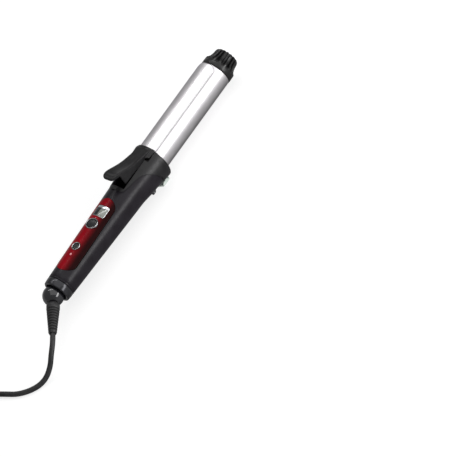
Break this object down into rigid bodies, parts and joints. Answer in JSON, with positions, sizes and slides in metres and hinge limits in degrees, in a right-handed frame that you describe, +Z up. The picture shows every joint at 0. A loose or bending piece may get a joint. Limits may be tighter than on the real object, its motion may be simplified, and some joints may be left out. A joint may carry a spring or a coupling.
{
  "type": "curling wand",
  "caption": "Curling iron with a heated metal barrel, spring clip with thumb lever, cool tip, tapered handle with display panel, folding rest stand and swivel cord.",
  "frame": {"origin": "on the surface that the iron lies on, below the middle of its length without the cord", "axes": "+X along the barrel towards the cool tip, +Z up towards the thumb lever and the panel, +Y to the left of a user who looks towards the tip"},
  "size_m": [0.5658, 0.1137, 0.0685],
  "materials": {
    "barrel_metal": "satin",
    "steel": "plain",
    "brass": "plain",
    "chrome": "bright",
    "gunmetal": "dark bright",
    "handle_gloss": "gloss",
    "black_matte": "fine matte",
    "red_panel": "deep gloss",
    "display_glass": "gloss",
    "lamp": "frosted",
    "stand_grey": "satin",
    "ceramic": "ceramic",
    "circuit_board": "solder mask",
    "wire_red": "plain",
    "wire_white": "plain",
    "cord_rubber": "fine matte"
  },
  "bodies": {
    "cord": {"swivel_ball": "handle_gloss", "cord_guard": "cord_rubber", "power_cord": "cord_rubber", "power_cord_tail": "cord_rubber", "cord_coil": "cord_rubber", "cord_tie": "black_matte", "plug_body": "cord_rubber", "plug_pin_live": "brass", "plug_pin_neutral": "brass"},
    "handle": {"barrel_tube": "barrel_metal", "cool_tip": "black_matte", "heater_element": "ceramic", "heat_spreader_upper": "steel", "heat_spreader_lower": "steel", "barrel_seat_ring": "ceramic", "tip_holder": "ceramic", "temperature_sensor": "brass", "thermal_fuse": "steel", "heater_lead_live": "wire_red", "heater_lead_neutral": "wire_white", "lever_pivot_pin": "steel", "lever_spring": "steel", "collar": "black_matte", "stand_pivot_pin": "steel", "handle_shell": "handle_gloss", "handle_back_cover": "handle_gloss", "cover_screw_rear": "steel", "cover_screw_front": "steel", "end_ring": "gunmetal", "control_panel": "red_panel", "lcd_frame": "chrome", "lcd_display": "display_glass", "rocker_ring": "chrome", "power_button_ring": "chrome", "indicator_lens": "lamp", "setting_lamp": "lamp", "main_circuit_board": "circuit_board", "power_switch": "black_matte", "rocker_switch_up": "black_matte", "rocker_switch_down": "black_matte", "board_capacitor": "brass", "board_triac": "black_matte", "swivel_socket": "black_matte", "swivel_brush_live": "brass", "swivel_brush_neutral": "brass"},
    "clip": {"clip_plate": "barrel_metal", "clip_lever": "black_matte", "clip_rivet_front": "steel", "clip_rivet_rear": "steel"},
    "stand": {"rest_stand": "stand_grey"},
    "rocker": {"temperature_rocker": "black_matte"},
    "power_button": {"power_button": "black_matte"}
  },
  "joints": [
    {"name": "cord_swivel", "type": "hinge", "parent": "cord", "child": "handle", "pos_m": [-0.16275, 0, 0.0275], "axis": [1, 0, 0], "continuous": true},
    {"name": "clip_hinge", "type": "hinge", "parent": "handle", "child": "clip", "pos_m": [0.00875, 0, 0.0415], "axis": [0, -1, 0], "range_deg": [0, 20], "stiffness_Nm_per_rad": 0.5, "springref_deg": -17.19},
    {"name": "stand_hinge", "type": "hinge", "parent": "handle", "child": "stand", "pos_m": [0.00275, 0, 0.0031], "axis": [0, 1, 0], "range_deg": [0, 95]},
    {"name": "rocker_tilt", "type": "hinge", "parent": "handle", "child": "rocker", "pos_m": [-0.07525, 0, 0.0422], "axis": [0, 1, 0], "range_deg": [-4, 4], "stiffness_Nm_per_rad": 0.02},
    {"name": "power_press", "type": "slide", "parent": "handle", "child": "power_button", "axis": [0, 0, -1], "range_m": [0, 0.0008], "stiffness_N_per_m": 400}
  ]
}
